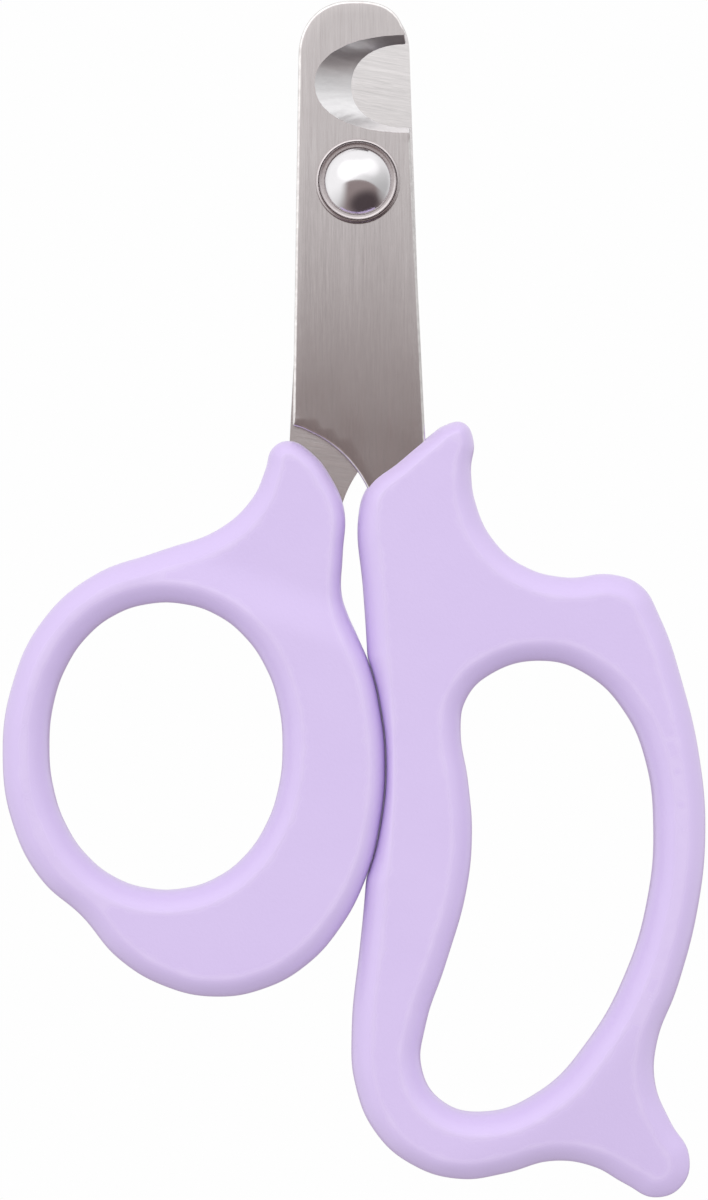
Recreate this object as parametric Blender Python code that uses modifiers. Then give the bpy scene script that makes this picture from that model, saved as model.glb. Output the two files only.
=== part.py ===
"""Scissor-action claw clipper: two notched steel blades, each moulded into a plastic handle, on one domed rivet.

It lies on its back with its handles closed. +Y points along the blades to the tip, +Z up along the rivet,
and the origin is the centre of the rivet's flat back, which is level with the backs of both handles.
"""

import math

import bmesh
import bpy

MM = 0.001

# Handles, in millimetres.
HANDLE_THICKNESS = 7.4
HANDLE_EDGE_RADIUS = 1.4
HANDLE_EDGE_STEPS = 1
OUTLINE_STEPS = 4

# Blades, in millimetres. Each lies against the shear plane, halfway up the handles.
BLADE_THICKNESS = 1.75
BLADE_GAP = 0.1
SHEAR_PLANE = HANDLE_THICKNESS / 2
REAR_BLADE_BACK = SHEAR_PLANE - BLADE_GAP / 2 - BLADE_THICKNESS
FRONT_BLADE_BACK = SHEAR_PLANE + BLADE_GAP / 2
FRONT_BLADE_FACE = FRONT_BLADE_BACK + BLADE_THICKNESS

# A blade's edge line: x where y is 0, and how much x grows with y.
FRONT_LEFT_EDGE = (-6.50, 0.0175)
FRONT_RIGHT_EDGE = (5.80, -0.049)
REAR_LEFT_EDGE = (-5.80, 0.052)
REAR_RIGHT_EDGE = (6.05, -0.0413)

# The rounded tip: two quarters of superellipses about one centre. A higher power is a fuller corner.
TIP_CENTRE = (-0.6, 13.1)
FRONT_TIP_HEIGHT = 6.0
FRONT_TIP_LEFT_POWER = 2.2
FRONT_TIP_RIGHT_POWER = 2.8
REAR_TIP_HEIGHT = 5.85
REAR_TIP_LEFT_POWER = 2.1
REAR_TIP_RIGHT_POWER = 2.6

# A notch is half a superellipse that opens sideways. It grows from the cutting edge, on the face that slides
# on the other blade, to the rim of the ground bevel on the blade's outer face: (reach, half height).
NOTCH_MOUTH = 5.25
NOTCH_CENTRE_Y = 10.3
NOTCH_POWER = 2.2
NOTCH_STEPS = 22
FRONT_NOTCH_EDGE = (5.95, 4.45)
FRONT_NOTCH_RIM = (9.80, 5.15)
REAR_NOTCH_EDGE = (4.00, 4.45)
REAR_NOTCH_RIM = (7.85, 5.15)

# The shoulder below the blade and the tang inside the handle, for the front blade. The rear blade's mirror it.
SHOULDER_CENTRE = (-10.15, -37.65)
SHOULDER_RADIUS = 12.35
SHOULDER_ANGLES = (17.2, 74.6)
TANG_INNER_TOP = (3.9, -41.3)
TANG_INNER_FOOT = (4.1, -50.0)
TANG_HOLE_CENTRE = (6.0, -45.5)
TANG_HOLE_RADIUS = 1.2
TANG_CLEARANCE = 0.15

# Rivet and washers, in millimetres.
WASHER_GAP = 0.05
SOCKET_HEAD_RADIUS = 4.3
SOCKET_HEAD_HEIGHT = 1.3
SOCKET_TUBE_RADIUS = 2.0
SOCKET_TUBE_TOP = 5.5
SOCKET_BORE_RADIUS = 1.38
SOCKET_BORE_FLOOR = 1.0
POST_RADIUS = 1.3
POST_END = 1.2
DOME_RADIUS = 3.55
DOME_LIP = 0.2
DOME_RISE = 1.75
DOME_STEPS = 7
BLADE_HOLE_RADIUS = 2.1
WASHER_BORE_RADIUS = 2.15
BACK_WASHER_RADIUS = 4.2
CUP_RADIUS = 4.45
CUP_FLOOR = 0.4
CUP_RIM_HEIGHT = 0.75
CUP_RIM_RADIUS = 4.15
CUP_COVE_RADIUS = 3.75
EDGE_BREAK = 0.2
TURNED_STEPS = 40

# Handle outlines, in millimetres, clockwise from the top of the side that faces the other handle.
THUMB_OUTLINE = [
    (-1.45, -34.6), (-1.6, -39.5), (-1.7, -43.6), (-1.1, -45.6), (0.1, -48.3), (1.3, -51.2), (2.3, -55.2),
    (2.95, -61.0), (2.45, -67.6), (0.85, -73.7), (-2.0, -79.1), (-5.5, -82.9), (-9.8, -85.3), (-15.0, -86.2),
    (-20.4, -85.1), (-25.4, -82.1), (-29.2, -77.7), (-33.5, -73.8), (-36.5, -68.0), (-37.6, -60.6),
    (-36.6, -53.2), (-33.4, -46.4), (-28.0, -41.6), (-21.0, -39.0), (-14.6, -36.6), (-11.1, -33.3),
    (-9.8, -30.4), (-9.0, -28.1), (-7.3, -27.35), (-4.9, -28.6), (-2.85, -31.2),
]
THUMB_HOLE_CENTRE = (-20.35, -59.7)
THUMB_HOLE_HALF_SIZE = (12.37, 15.2)
THUMB_HOLE_POWER = 2.12
THUMB_HOLE_POINTS = 22
FINGER_OUTLINE = [
    (12.25, -27.3), (12.0, -30.4), (12.5, -34.0), (14.4, -37.9), (17.6, -40.6), (22.0, -41.8), (27.0, -41.5),
    (30.0, -42.7), (31.9, -45.8), (34.3, -52.7), (36.2, -61.0), (36.8, -68.8), (36.0, -76.8), (33.8, -85.3),
    (31.7, -91.0), (31.5, -95.3), (33.2, -99.6), (35.1, -103.0), (34.4, -106.2), (31.5, -107.5),
    (28.4, -106.1), (24.9, -104.2), (20.6, -103.6), (15.6, -104.9), (10.9, -105.5), (5.8, -104.0),
    (1.9, -100.6), (-0.3, -95.4), (-0.65, -90.0), (0.1, -82.0), (1.2, -73.9), (2.8, -68.2),
    (3.35, -61.0), (2.7, -55.0), (1.35, -50.0), (0.5, -42.5), (0.1, -35.0), (1.0, -32.3), (4.2, -29.6),
    (7.6, -26.8), (9.2, -25.7), (11.2, -25.45),
]
FINGER_HOLE = [
    (10.9, -57.8), (11.4, -54.9), (13.7, -52.3), (19.6, -50.65), (24.5, -52.25), (28.3, -56.1),
    (30.5, -61.2), (31.35, -68.2), (30.7, -76.0), (28.3, -84.0), (24.3, -91.1), (19.3, -96.3),
    (13.2, -98.5), (8.9, -97.3), (6.8, -93.9), (7.2, -89.2), (9.3, -82.8), (11.5, -75.0), (12.1, -68.8),
    (11.7, -63.5),
]

# Colours, as linear red, green and blue.
LILAC = (0.69, 0.58, 0.86)
STEEL = (0.45, 0.42, 0.41)
CHROME = (0.75, 0.75, 0.76)


def clear_scene():
    for obj in list(bpy.data.objects):
        bpy.data.objects.remove(obj, do_unlink=True)


def new_collection(name):
    collection = bpy.data.collections.new(name)
    bpy.context.scene.collection.children.link(collection)
    return collection


def new_material(name, colour, roughness, metallic):
    material = bpy.data.materials.new(name)
    material.use_nodes = True
    shader = material.node_tree.nodes["Principled BSDF"]
    shader.inputs["Base Color"].default_value = (*colour, 1.0)
    shader.inputs["Roughness"].default_value = roughness
    shader.inputs["Metallic"].default_value = metallic
    return material


def new_object(name, data, collection, material=None):
    obj = bpy.data.objects.new(name, data)
    collection.objects.link(obj)
    if material:
        data.materials.append(material)
    return obj


def new_cutter(name, data, collection):
    obj = new_object(name, data, collection)
    obj.hide_render = True
    obj.display_type = "WIRE"
    return obj


# Outlines, as lists of points in millimetres


def superellipse_point(centre, half_size, power, degrees):
    """The point of |x/a|^n + |y/b|^n = 1 about this centre, by its angle, counter-clockwise from +X."""
    c = math.cos(math.radians(degrees))
    s = math.sin(math.radians(degrees))
    x = math.copysign(abs(c) ** (2 / power), c) * half_size[0]
    y = math.copysign(abs(s) ** (2 / power), s) * half_size[1]
    return centre[0] + x, centre[1] + y


def arc(centre, half_size, power, start, end, steps):
    """Points along a superellipse from one angle to another, both included. Power 2 is an ellipse."""
    angles = [start + (end - start) * i / steps for i in range(steps + 1)]
    return [superellipse_point(centre, half_size, power, angle) for angle in angles]


def ring(centre, half_size, steps, power=2):
    return arc(centre, half_size, power, 0, 360, steps)[:-1]


def on_edge(line, y):
    return line[0] + line[1] * y, y


def mirror_line(line):
    return -line[0], -line[1]


def mirror(points):
    return [(-x, y) for x, y in points]


def tip(left_edge, right_edge, height, left_power, right_power):
    """The rounded end of a blade, from its left edge over the top to its right edge."""
    left_reach = TIP_CENTRE[0] - on_edge(left_edge, TIP_CENTRE[1])[0]
    right_reach = on_edge(right_edge, TIP_CENTRE[1])[0] - TIP_CENTRE[0]
    left = arc(TIP_CENTRE, (left_reach, height), left_power, 180, 90, 8)
    right = arc(TIP_CENTRE, (right_reach, height), right_power, 90, 0, 8)
    return left + right[1:]


def shoulder():
    """The hollow curve under the front blade's free corner, from the tang up to the blade's left edge."""
    start, end = SHOULDER_ANGLES
    return arc(SHOULDER_CENTRE, (SHOULDER_RADIUS, SHOULDER_RADIUS), 2, start, end, 8)


def front_blade_outline():
    points = tip(
        FRONT_LEFT_EDGE, FRONT_RIGHT_EDGE, FRONT_TIP_HEIGHT, FRONT_TIP_LEFT_POWER, FRONT_TIP_RIGHT_POWER
    )
    tang_foot = on_edge(FRONT_RIGHT_EDGE, TANG_INNER_FOOT[1])
    return points + [tang_foot, TANG_INNER_FOOT, TANG_INNER_TOP] + shoulder()


def rear_blade_outline():
    points = tip(
        REAR_LEFT_EDGE, REAR_RIGHT_EDGE, REAR_TIP_HEIGHT, REAR_TIP_LEFT_POWER, REAR_TIP_RIGHT_POWER
    )
    tang_foot = on_edge(REAR_LEFT_EDGE, TANG_INNER_FOOT[1])
    inner_side = mirror([TANG_INNER_FOOT, TANG_INNER_TOP] + shoulder())
    return points[::-1] + [tang_foot] + inner_side


# Solids


def add_spline(curve, points, kind):
    """One closed spline through the points: POLY joins them with straight lines, BEZIER with a smooth curve."""
    spline = curve.splines.new(kind)
    target = spline.bezier_points if kind == "BEZIER" else spline.points
    target.add(len(points) - 1)
    for control, (x, y) in zip(target, points):
        if kind == "BEZIER":
            control.co = (x * MM, y * MM, 0)
            control.handle_left_type = "AUTO"
            control.handle_right_type = "AUTO"
        else:
            control.co = (x * MM, y * MM, 0, 1)
    spline.use_cyclic_u = True
    spline.resolution_u = OUTLINE_STEPS


def plate_curve(name, outline, holes, bottom, top, kind="POLY", edge_radius=0.0, growth=0.0):
    """A flat plate from one height to another. Its edge can be rounded, and its outline grown all round."""
    curve = bpy.data.curves.new(name, "CURVE")
    curve.dimensions = "2D"
    curve.fill_mode = "BOTH"
    curve.extrude = ((top - bottom) / 2 - edge_radius) * MM
    curve.bevel_depth = edge_radius * MM
    curve.bevel_resolution = HANDLE_EDGE_STEPS
    curve.offset = (growth - edge_radius) * MM
    curve.resolution_u = OUTLINE_STEPS
    add_spline(curve, outline, kind)
    for hole in holes:
        add_spline(curve, hole, kind)
    return curve


def plate_mesh(name, outline, holes, bottom, top, **shape):
    """The plate as a closed mesh at its height."""
    curve = plate_curve(name, outline, holes, bottom, top, **shape)
    guide = new_object(name + "_curve", curve, bpy.context.scene.collection)
    guide.location.z = (bottom + top) / 2 * MM
    bpy.context.view_layer.update()
    evaluated = guide.evaluated_get(bpy.context.evaluated_depsgraph_get())
    mesh = bpy.data.meshes.new_from_object(evaluated)
    mesh.transform(guide.matrix_world)
    mesh.name = name
    bpy.data.objects.remove(guide, do_unlink=True)
    bpy.data.curves.remove(curve)
    shell = bmesh.new()
    shell.from_mesh(mesh)
    bmesh.ops.remove_doubles(shell, verts=shell.verts, dist=0.001 * MM)
    bmesh.ops.recalc_face_normals(shell, faces=shell.faces)
    shell.to_mesh(mesh)
    shell.free()
    return mesh


def smooth_shade(obj, degrees=35):
    obj.data.shade_smooth()
    obj.data.set_sharp_from_angle(angle=math.radians(degrees))


def cut(obj, cutter):
    boolean = obj.modifiers.new("cut " + cutter.name, "BOOLEAN")
    boolean.operation = "DIFFERENCE"
    boolean.solver = "EXACT"
    boolean.object = cutter


def notch_loop(edge, rim, share, side):
    """The notch's outline a share of the way through the blade, closed far outside the mouth."""
    reach = edge[0] + (rim[0] - edge[0]) * share
    half_height = edge[1] + (rim[1] - edge[1]) * share
    wall = arc((NOTCH_MOUTH, NOTCH_CENTRE_Y), (reach, half_height), NOTCH_POWER, 90, 270, NOTCH_STEPS)
    outside = NOTCH_MOUTH + 6
    loop = wall + [(outside, NOTCH_CENTRE_Y - half_height), (outside, NOTCH_CENTRE_Y + half_height)]
    return [(side * x, y) for x, y in loop]


def notch_mesh(name, edge, rim, edge_height, rim_height, side):
    """A loft between the notch's outline past its cutting edge and its outline past the bevel's rim."""
    shell = bmesh.new()
    loops = []
    for share in (-0.2, 1.2):
        z = edge_height + (rim_height - edge_height) * share
        points = notch_loop(edge, rim, share, side)
        loops.append([shell.verts.new((x * MM, y * MM, z * MM)) for x, y in points])
    count = len(loops[0])
    for i in range(count):
        j = (i + 1) % count
        shell.faces.new((loops[0][i], loops[0][j], loops[1][j], loops[1][i]))
    shell.faces.new(loops[0])
    shell.faces.new(loops[1])
    bmesh.ops.recalc_face_normals(shell, faces=shell.faces)
    mesh = bpy.data.meshes.new(name)
    shell.to_mesh(mesh)
    shell.free()
    return mesh


def turned(name, profile, collection, material):
    """A solid of revolution about +Z. The profile is (radius, height), down the outer side from the axis."""
    mesh = bpy.data.meshes.new(name)
    points = [(r * MM, 0, z * MM) for r, z in profile]
    mesh.from_pydata(points, [(i, i + 1) for i in range(len(points) - 1)], [])
    obj = new_object(name, mesh, collection, material)
    screw = obj.modifiers.new("turn", "SCREW")
    screw.axis = "Z"
    screw.steps = TURNED_STEPS
    screw.render_steps = TURNED_STEPS
    screw.use_merge_vertices = True
    screw.merge_threshold = 0.00001
    screw.use_smooth_shade = True
    return obj


# Pieces


def make_blade(name, outline, bottom, collection, cutters, notch, material):
    pivot_hole = ring((0, 0), (BLADE_HOLE_RADIUS, BLADE_HOLE_RADIUS), TURNED_STEPS)
    side = notch["side"]
    tang_centre = (side * TANG_HOLE_CENTRE[0], TANG_HOLE_CENTRE[1])
    tang_hole = ring(tang_centre, (TANG_HOLE_RADIUS, TANG_HOLE_RADIUS), 16)
    top = bottom + BLADE_THICKNESS
    mesh = plate_mesh(name, outline, [pivot_hole, tang_hole], bottom, top)
    blade = new_object(name, mesh, collection, material)
    cutter = new_cutter(name + "_notch", notch_mesh(name + "_notch", **notch), cutters)
    cut(blade, cutter)
    slot = plate_mesh(
        name + "_slot", outline, [tang_hole], bottom - TANG_CLEARANCE, top + TANG_CLEARANCE,
        growth=TANG_CLEARANCE,
    )
    return new_cutter(name + "_slot", slot, cutters)


def make_handle(name, outline, hole, slot, collection, material):
    mesh = plate_mesh(
        name, outline, [hole], 0, HANDLE_THICKNESS, kind="BEZIER", edge_radius=HANDLE_EDGE_RADIUS
    )
    handle = new_object(name, mesh, collection, material)
    smooth_shade(handle)
    cut(handle, slot)


def make_rivet(collection, material):
    seat = FRONT_BLADE_FACE + WASHER_GAP + CUP_FLOOR + WASHER_GAP
    crown = arc((0, seat + DOME_LIP), (DOME_RADIUS, DOME_RISE), 2, 90, 0, DOME_STEPS)
    crown[0] = (0, crown[0][1])
    underside = [(DOME_RADIUS, seat), (POST_RADIUS, seat)]
    post = [
        (POST_RADIUS, POST_END + EDGE_BREAK),
        (POST_RADIUS - EDGE_BREAK, POST_END),
        (0, POST_END),
    ]
    turned("rivet_dome", crown + underside + post, collection, material)
    bore = [(0, SOCKET_BORE_FLOOR), (SOCKET_BORE_RADIUS, SOCKET_BORE_FLOOR), (SOCKET_BORE_RADIUS, SOCKET_TUBE_TOP)]
    outside = [
        (SOCKET_TUBE_RADIUS, SOCKET_TUBE_TOP),
        (SOCKET_TUBE_RADIUS, SOCKET_HEAD_HEIGHT),
        (SOCKET_HEAD_RADIUS, SOCKET_HEAD_HEIGHT),
        (SOCKET_HEAD_RADIUS, EDGE_BREAK),
        (SOCKET_HEAD_RADIUS - EDGE_BREAK, 0),
        (0, 0),
    ]
    turned("rivet_socket", bore + outside, collection, material)


def make_washers(collection, material):
    bottom = SOCKET_HEAD_HEIGHT + WASHER_GAP
    top = REAR_BLADE_BACK - WASHER_GAP
    flat = [
        (WASHER_BORE_RADIUS, top),
        (BACK_WASHER_RADIUS, top),
        (BACK_WASHER_RADIUS, bottom),
        (WASHER_BORE_RADIUS, bottom),
        (WASHER_BORE_RADIUS, top),
    ]
    turned("back_washer", flat, collection, material)
    seat = FRONT_BLADE_FACE + WASHER_GAP
    floor = seat + CUP_FLOOR
    cup = [
        (WASHER_BORE_RADIUS, floor),
        (CUP_COVE_RADIUS, floor),
        (CUP_RIM_RADIUS, seat + CUP_RIM_HEIGHT),
        (CUP_RADIUS, seat + CUP_FLOOR),
        (CUP_RADIUS, seat),
        (WASHER_BORE_RADIUS, seat),
        (WASHER_BORE_RADIUS, floor),
    ]
    turned("cup_washer", cup, collection, material)


def main():
    clear_scene()
    parts = new_collection("claw_clipper")
    cutters = new_collection("cutters")
    lilac = new_material("lilac_plastic", LILAC, 0.42, 0.0)
    steel = new_material("brushed_steel", STEEL, 0.34, 1.0)
    chrome = new_material("polished_chrome", CHROME, 0.08, 1.0)
    front_notch = {
        "edge": FRONT_NOTCH_EDGE, "rim": FRONT_NOTCH_RIM, "side": 1,
        "edge_height": FRONT_BLADE_BACK, "rim_height": FRONT_BLADE_FACE,
    }
    rear_notch = {
        "edge": REAR_NOTCH_EDGE, "rim": REAR_NOTCH_RIM, "side": -1,
        "edge_height": REAR_BLADE_BACK + BLADE_THICKNESS, "rim_height": REAR_BLADE_BACK,
    }
    front_slot = make_blade(
        "front_blade", front_blade_outline(), FRONT_BLADE_BACK, parts, cutters, front_notch, steel
    )
    rear_slot = make_blade(
        "rear_blade", rear_blade_outline(), REAR_BLADE_BACK, parts, cutters, rear_notch, steel
    )
    make_handle("finger_handle", FINGER_OUTLINE, FINGER_HOLE, front_slot, parts, lilac)
    thumb_hole = ring(THUMB_HOLE_CENTRE, THUMB_HOLE_HALF_SIZE, THUMB_HOLE_POINTS, THUMB_HOLE_POWER)
    make_handle("thumb_handle", THUMB_OUTLINE, thumb_hole, rear_slot, parts, lilac)
    make_rivet(parts, chrome)
    make_washers(parts, chrome)


main()
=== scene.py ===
# %% [markdown]
# # Claw scissors: two notched blades, one domed rivet, two moulded handles
#
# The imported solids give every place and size. They are plain: their handles have one small bevel and their
# blades have razor corners. This lesson measures the outlines of those solids and makes the fine surfaces
# from them: softly rounded plastic, blades with broken edges and ground notches, and turned rivet parts.

# %% Load the frame
import math

import bpy
import numpy as np
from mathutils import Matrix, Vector
from mathutils.geometry import delaunay_2d_cdt


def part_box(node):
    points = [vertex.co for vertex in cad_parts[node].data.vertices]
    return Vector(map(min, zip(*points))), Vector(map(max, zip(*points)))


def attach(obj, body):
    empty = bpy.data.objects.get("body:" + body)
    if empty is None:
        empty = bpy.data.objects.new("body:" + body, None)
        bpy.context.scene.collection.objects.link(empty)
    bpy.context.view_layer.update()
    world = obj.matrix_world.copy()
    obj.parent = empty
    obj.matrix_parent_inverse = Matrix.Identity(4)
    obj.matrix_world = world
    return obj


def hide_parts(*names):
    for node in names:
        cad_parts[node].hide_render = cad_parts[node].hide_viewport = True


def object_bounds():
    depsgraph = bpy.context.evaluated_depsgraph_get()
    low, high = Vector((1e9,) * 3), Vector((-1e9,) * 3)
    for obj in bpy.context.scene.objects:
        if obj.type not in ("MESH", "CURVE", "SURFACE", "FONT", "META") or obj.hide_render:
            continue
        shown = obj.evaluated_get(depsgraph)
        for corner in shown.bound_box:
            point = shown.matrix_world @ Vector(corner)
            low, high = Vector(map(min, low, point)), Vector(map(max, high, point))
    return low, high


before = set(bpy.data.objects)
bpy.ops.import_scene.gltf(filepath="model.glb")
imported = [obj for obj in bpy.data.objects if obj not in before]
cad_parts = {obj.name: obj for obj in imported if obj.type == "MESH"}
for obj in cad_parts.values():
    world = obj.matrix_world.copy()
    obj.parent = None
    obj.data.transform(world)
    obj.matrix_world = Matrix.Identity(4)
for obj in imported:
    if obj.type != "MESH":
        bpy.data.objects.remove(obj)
CAD_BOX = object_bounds()
MM = 0.001
print("object, mm:", [round((hi - lo) / MM, 2) for lo, hi in zip(*CAD_BOX)])

# %% [markdown]
# ## Camera
# The camera looks straight down from far away, through a long lens. The long side of the frame runs along
# the blades and is a little longer than the object.

# %% The camera
CAMERA_DISTANCE = 0.45
FRAME_MARGIN = 1.0048
SENSOR = 36
object_low, object_high = (np.array(corner) for corner in CAD_BOX)
object_centre = (object_low + object_high) / 2
frame_height = (object_high[1] - object_low[1]) * FRAME_MARGIN
lens = bpy.data.cameras.new("product_lens")
lens.sensor_width = SENSOR
lens.lens = lens.sensor_width * CAMERA_DISTANCE / frame_height
camera = bpy.data.objects.new("product_camera", lens)
middle_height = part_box("front_blade")[0].z
camera.location = (object_centre[0], object_centre[1], middle_height + CAMERA_DISTANCE)
bpy.context.scene.collection.objects.link(camera)
bpy.context.scene.camera = camera
bpy.context.scene.view_settings.view_transform = "Standard"
print("lens, mm:", round(lens.lens, 1))

# %% [markdown]
# ## Small tools for shader trees
# Each material is a tree of nodes. One short function adds a node, sets its values and joins its inputs, so
# the recipes below read as lists of ingredients.


# %% Adding a node
def put(tree, kind, inputs=None, **settings):
    """Adds a node. An input given as a socket is joined to it, and any other input is set as a value."""
    made = tree.nodes.new(kind)
    for key, value in settings.items():
        setattr(made, key, value)
    for key, value in (inputs or {}).items():
        if isinstance(value, bpy.types.NodeSocket):
            tree.links.new(value, made.inputs[key])
        else:
            made.inputs[key].default_value = value
    return made


def maths(tree, operation, *values):
    """A Math node on numbers or sockets."""
    return put(tree, "ShaderNodeMath", dict(enumerate(values)), operation=operation).outputs[0]


# %% [markdown]
# ## Studio
# Polished steel shows the room more than itself, so the room is drawn as a function of direction, twice.
# Matt surfaces are lit by the fill: white walls all round, a little brighter behind the tip. Reflections
# see the same walls with lamps, and a warm dark band overhead and towards the handles, where the camera and
# its stand are. The edge of the band falls on the blades, which is why they darken along their length.
# Camera rays see plain white instead.


# %% The room as a function of direction
world = bpy.data.worlds.new("studio")
bpy.context.scene.world = world
world.use_nodes = True
room = world.node_tree
room.nodes.clear()
towards = put(room, "ShaderNodeTexCoord").outputs["Generated"]
parts = put(room, "ShaderNodeSeparateXYZ", {0: towards}).outputs


def ramp(value, low, high, start, end):
    """A number carried smoothly from start, below low, to end, above high."""
    limits = {0: value, 1: low, 2: high, 3: start, 4: end}
    return put(room, "ShaderNodeMapRange", limits, interpolation_type="SMOOTHSTEP").outputs[0]


def lobe(direction, inner, outer):
    """A soft round patch on the sky: 1 within the inner angle of a direction, in degrees, 0 past the outer
    one."""
    unit = Vector(direction).normalized()
    near = put(room, "ShaderNodeVectorMath", {0: towards, 1: unit}, operation="DOT_PRODUCT").outputs["Value"]
    return ramp(near, math.cos(math.radians(outer)), math.cos(math.radians(inner)), 0.0, 1.0)


def walls(lean, dim, bright, below, lamps):
    """Light from the walls, from dim at -Y to bright at +Y with a lean towards -X, and even from below the
    horizon. Each lamp is (direction, inner angle, outer angle, strength)."""
    uphill = maths(room, "MULTIPLY_ADD", parts["X"], -lean, parts["Y"])
    above = ramp(parts["Z"], -0.25, 0.10, 0.0, 1.0)
    shades = {0: above, 2: below, 3: ramp(uphill, -0.95, 0.65, dim, bright)}
    total = put(room, "ShaderNodeMix", shades).outputs[0]
    for direction, inner, outer, strength in lamps:
        total = maths(room, "MULTIPLY_ADD", lobe(direction, inner, outer), strength, total)
    return total


def shaded(under, mask, colour):
    """A colour laid over what is already there, by a mask."""
    return put(room, "ShaderNodeMix", {0: mask, 6: under, 7: colour}, data_type="RGBA").outputs[2]


UPPER_LEFT, UPPER_RIGHT, UPPER = (-0.42, 0.50, 0.76), (0.50, 0.60, 0.60), (0.03, 0.62, 0.78)
fill = walls(0.18, 0.59, 1.23, 0.56, [(UPPER_LEFT, 8, 34, 0.25)])
shine = walls(
    0.70, 0.60, 1.20, 1.00, [(UPPER_LEFT, 8, 34, 0.45), (UPPER_RIGHT, 8, 30, 0.30), (UPPER, 6, 28, 0.35)]
)
print("nodes in the sky so far:", len(room.nodes))

# %% [markdown]
# The dark band covers the sky below a curved line just past straight up, y + |x|^2.5 / 2, and fades out at
# its left and right ends. It is warm grey overhead and nearly black low down, where the camera's stand is.

# %% The dark band and the finished sky
PAPER = 0.9915
OVERHEAD, STAND = (0.34, 0.280, 0.275, 1), (0.085, 0.065, 0.07, 1)
left_end = ramp(parts["X"], -0.76, -0.38, 0.0, 1.0)
right_end = ramp(parts["X"], 0.70, 1.00, 1.0, 0.0)
sideways = maths(room, "POWER", maths(room, "ABSOLUTE", parts["X"]), 2.5)
line = maths(room, "MULTIPLY_ADD", sideways, 0.5, parts["Y"])
across = maths(room, "MULTIPLY", left_end, right_end)
band = maths(room, "MULTIPLY", ramp(line, 0.046, 0.088, 1.0, 0.0), across)
shine = shaded(shine, band, shaded(OVERHEAD, lobe((0.30, -0.86, 0.40), 18, 50), STAND))
rays = put(room, "ShaderNodeLightPath").outputs
colour = shaded(fill, rays["Is Glossy Ray"], shine)
seen = shaded(colour, rays["Is Camera Ray"], (PAPER, PAPER, PAPER, 1))
glow = put(room, "ShaderNodeBackground", {"Color": seen, "Strength": 1.0})
put(room, "ShaderNodeOutputWorld", {"Surface": glow.outputs[0]})
print("white behind the object:", PAPER)

# %% [markdown]
# ## Paper
# The floor is white paper on a light table: it glows evenly, so nothing casts a shadow on it. It is one
# large square just below the object, seen from above only, and it leaves the lighting of the object to the
# room.

# %% The floor
PAPER_SIZE, PAPER_GAP = 3.0, 0.05
corners = PAPER_SIZE / 2 * np.array([[-1, -1, 0], [1, -1, 0], [1, 1, 0], [-1, 1, 0]])
corners[:, 2] = object_low[2] - PAPER_GAP * MM
sheet_mesh = bpy.data.meshes.new("paper")
sheet_mesh.from_pydata(corners.tolist(), [], [[0, 1, 2, 3]])
paper = bpy.data.objects.new("paper", sheet_mesh)
bpy.context.scene.collection.objects.link(paper)
paper.visible_diffuse = paper.visible_glossy = paper.visible_shadow = False
paper_finish = bpy.data.materials.new("glowing_paper")
paper_finish.use_nodes = True
tree = paper_finish.node_tree
tree.nodes.clear()
below = put(tree, "ShaderNodeNewGeometry").outputs["Backfacing"]
lit = put(tree, "ShaderNodeEmission", {"Color": (1, 1, 1, 1), "Strength": PAPER})
clear = put(tree, "ShaderNodeBsdfTransparent")
sides = put(tree, "ShaderNodeMixShader", {0: below, 1: lit.outputs[0], 2: clear.outputs[0]})
put(tree, "ShaderNodeOutputMaterial", {"Surface": sides.outputs[0]})
sheet_mesh.materials.append(paper_finish)
print("paper at z, mm:", round(float(corners[0, 2]) / MM, 3))

# %% [markdown]
# ## Outlines
# A flat piece is known by its outlines at a height. The solids are loose triangles, so equal corners are
# merged first. An edge belongs to an outline when both of its ends are at that height and at most one flat
# face there uses it.


# %% Outlines of a solid at a height
def chain(edges):
    """Puts edges that share their ends in order, as closed rings of point numbers."""
    beside = {}
    for a, b in edges:
        beside.setdefault(a, []).append(b)
        beside.setdefault(b, []).append(a)
    rings = []
    while beside:
        start = next(iter(beside))
        ring, last, here = [start], None, start
        while True:
            ahead = [p for p in beside[here] if p != last]
            last, here = here, ahead[0]
            if here == start:
                break
            ring.append(here)
        for p in ring:
            del beside[p]
        rings.append(ring)
    return rings


def signed_area(ring):
    """Half the sum of the cross products of neighbours: positive when the ring runs counter-clockwise."""
    ahead = np.roll(ring, -1, axis=0)
    return 0.5 * float(np.sum(ring[:, 0] * ahead[:, 1] - ring[:, 1] * ahead[:, 0]))


def outlines(node, z):
    """The rings of a solid at height z, in mm: the outer one first, counter-clockwise, and holes
    clockwise."""
    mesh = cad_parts[node].data
    mesh.calc_loop_triangles()
    points = np.empty(len(mesh.vertices) * 3, np.float32)
    mesh.vertices.foreach_get("co", points)
    triangles = np.empty(len(mesh.loop_triangles) * 3, np.int32)
    mesh.loop_triangles.foreach_get("vertices", triangles)
    merged, number = np.unique(np.round(points.reshape(-1, 3) / MM, 4), axis=0, return_inverse=True)
    triangles = number.reshape(-1)[triangles.reshape(-1, 3)]
    level = np.abs(merged[:, 2] - z) < 0.002
    flat = level[triangles].all(axis=1)
    sides = [triangles[:, pair] for pair in ([0, 1], [1, 2], [2, 0])]
    edges = np.sort(np.concatenate(sides), axis=1)
    in_level = level[edges].all(axis=1)
    edges, which = np.unique(edges[in_level], axis=0, return_inverse=True)
    uses = np.bincount(which.reshape(-1), np.tile(flat, 3)[in_level], len(edges))
    rings = [merged[ring][:, :2] for ring in chain(edges[uses < 1.5].tolist())]
    rings.sort(key=lambda ring: -abs(signed_area(ring)))
    signs = [1] + [-1] * (len(rings) - 1)
    return [ring if signed_area(ring) * sign > 0 else ring[::-1] for ring, sign in zip(rings, signs)]


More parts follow.
